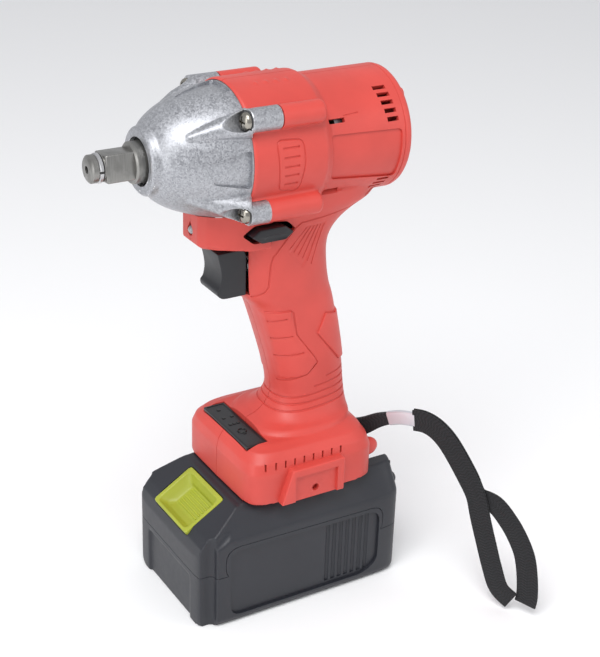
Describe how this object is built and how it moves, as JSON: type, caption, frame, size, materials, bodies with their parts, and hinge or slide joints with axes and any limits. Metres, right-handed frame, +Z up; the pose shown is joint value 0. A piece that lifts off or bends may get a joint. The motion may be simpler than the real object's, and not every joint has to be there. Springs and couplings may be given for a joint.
{
  "type": "cordless impact wrench",
  "caption": "Cordless pistol-grip impact wrench with square drive, slide-on battery, trigger, direction lever and wrist strap.",
  "frame": {"origin": "middle of the battery's flat underside, which the tool stands on", "axes": "+Z up through the handle; the square drive points along -X; the tool's left side, with the belt-hook pad, faces -Y"},
  "size_m": [0.1913, 0.1453, 0.2669],
  "materials": {
    "red_plastic": "fine moulded texture, warm red",
    "black_plastic": "satin black",
    "panel_film": "smooth dark film with printed marks",
    "cast_aluminium": "blasted casting",
    "drive_steel": "machined with fine crosswise marks",
    "dark_steel": "black phosphated screw",
    "forged_steel": "oiled forging",
    "bright_steel": "ground",
    "lamination_steel": "stacked sheets",
    "copper": "enamelled copper wire",
    "bearing_bronze": "sintered bronze",
    "seal_rubber": "matt",
    "circuit_board": "green solder mask",
    "clear_lens": "clear moulded lens",
    "charcoal_plastic": "satin charcoal with a blue cast",
    "lime_plastic": "satin lime green",
    "cell_wrap": "heat-shrunk sleeve",
    "black_webbing": "woven nylon",
    "crimp_steel": "plated"
  },
  "bodies": {
    "tool": {"case_screw_1": "dark_steel", "case_screw_2": "dark_steel", "case_screw_3": "dark_steel", "case_screw_4": "dark_steel", "control_board": "circuit_board", "control_panel": "panel_film", "front_motor_bearing": "bright_steel", "gear_plate": "cast_aluminium", "hammer_case": "cast_aluminium", "housing_screw_1": "dark_steel", "housing_screw_2": "dark_steel", "housing_screw_3": "dark_steel", "housing_screw_4": "dark_steel", "left_housing": "red_plastic", "nose_bushing": "bearing_bronze", "nose_seal": "seal_rubber", "rear_cap": "red_plastic", "rear_motor_bearing": "bright_steel", "right_housing": "red_plastic", "ring_gear": "forged_steel", "sensor_board": "circuit_board", "spindle_bearing": "bright_steel", "stator": "lamination_steel", "stator_windings": "copper", "strap_back_run": "black_webbing", "strap_ferrule": "crimp_steel", "strap_front_run": "black_webbing", "strap_root": "black_webbing", "switch_body": "black_plastic", "terminal_block": "black_plastic", "trigger_spring": "bright_steel", "work_lamp": "clear_lens"},
    "battery": {"battery_upper_shell": "charcoal_plastic", "battery_lower_shell": "charcoal_plastic", "left_cell_holder": "black_plastic", "right_cell_holder": "black_plastic", "battery_board": "circuit_board", "battery_clips": "bearing_bronze", "button_spring": "bright_steel", "cell_pair_1": "cell_wrap", "cell_pair_2": "cell_wrap", "cell_pair_3": "cell_wrap", "cell_pair_4": "cell_wrap", "cell_pair_5": "cell_wrap"},
    "release_button": {"release_button": "lime_plastic"},
    "anvil": {"anvil": "drive_steel", "friction_ring": "drive_steel"},
    "hammer": {"hammer": "forged_steel"},
    "spindle": {"spindle": "bright_steel", "cam_ball_1": "bright_steel", "cam_ball_2": "bright_steel", "hammer_spring": "bright_steel"},
    "planet_1": {"planet_gear_1": "bright_steel"},
    "planet_2": {"planet_gear_2": "bright_steel"},
    "planet_3": {"planet_gear_3": "bright_steel"},
    "rotor": {"rotor_shaft": "bright_steel", "rotor_core": "lamination_steel", "fan": "black_plastic"},
    "trigger": {"trigger": "black_plastic"},
    "direction_lever": {"direction_lever": "black_plastic"}
  },
  "joints": [
    {"name": "anvil_spin", "type": "hinge", "parent": "tool", "child": "anvil", "pos_m": [-0.0953, 0, 0.235], "axis": [1, 0, 0], "continuous": true},
    {"name": "hammer_slide", "type": "slide", "parent": "anvil", "child": "hammer", "axis": [1, 0, 0], "range_m": [0, 0.008], "stiffness_N_per_m": 3000, "springref_m": -0.006, "deforming": ["hammer_spring"]},
    {"name": "spindle_spin", "type": "hinge", "parent": "tool", "child": "spindle", "pos_m": [-0.05, 0, 0.235], "axis": [1, 0, 0], "continuous": true},
    {"name": "planet_1_spin", "type": "hinge", "parent": "spindle", "child": "planet_1", "pos_m": [-0.0063, 0, 0.247], "axis": [1, 0, 0], "continuous": true},
    {"name": "planet_2_spin", "type": "hinge", "parent": "spindle", "child": "planet_2", "pos_m": [-0.0063, -0.01039, 0.229], "axis": [1, 0, 0], "continuous": true},
    {"name": "planet_3_spin", "type": "hinge", "parent": "spindle", "child": "planet_3", "pos_m": [-0.0063, 0.01039, 0.229], "axis": [1, 0, 0], "continuous": true},
    {"name": "rotor_spin", "type": "hinge", "parent": "tool", "child": "rotor", "pos_m": [-0.0063, 0, 0.235], "axis": [1, 0, 0], "continuous": true},
    {"name": "trigger_pull", "type": "slide", "parent": "tool", "child": "trigger", "axis": [1, 0, 0], "range_m": [0, 0.006], "stiffness_N_per_m": 250, "springref_m": -0.006, "deforming": ["trigger_spring"]},
    {"name": "direction_swing", "type": "hinge", "parent": "tool", "child": "direction_lever", "pos_m": [0.008, 0, 0.194], "axis": [0, 0, 1], "range_deg": [-6, 6]},
    {"name": "battery_slide", "type": "slide", "parent": "tool", "child": "battery", "axis": [-1, 0, 0], "range_m": [0, 0.12]},
    {"name": "button_press", "type": "slide", "parent": "battery", "child": "release_button", "axis": [0.5304, 0, -0.8478], "range_m": [0, 0.0025], "stiffness_N_per_m": 400, "springref_m": -0.004, "deforming": ["button_spring"]}
  ],
  "couplings": [
    {"joint": "spindle_spin", "follows": "anvil_spin", "ratio": 1},
    {"joint": "planet_1_spin", "follows": "anvil_spin", "ratio": -2.4286},
    {"joint": "planet_2_spin", "follows": "anvil_spin", "ratio": -2.4286},
    {"joint": "planet_3_spin", "follows": "anvil_spin", "ratio": -2.4286},
    {"joint": "rotor_spin", "follows": "anvil_spin", "ratio": 6.6667}
  ]
}
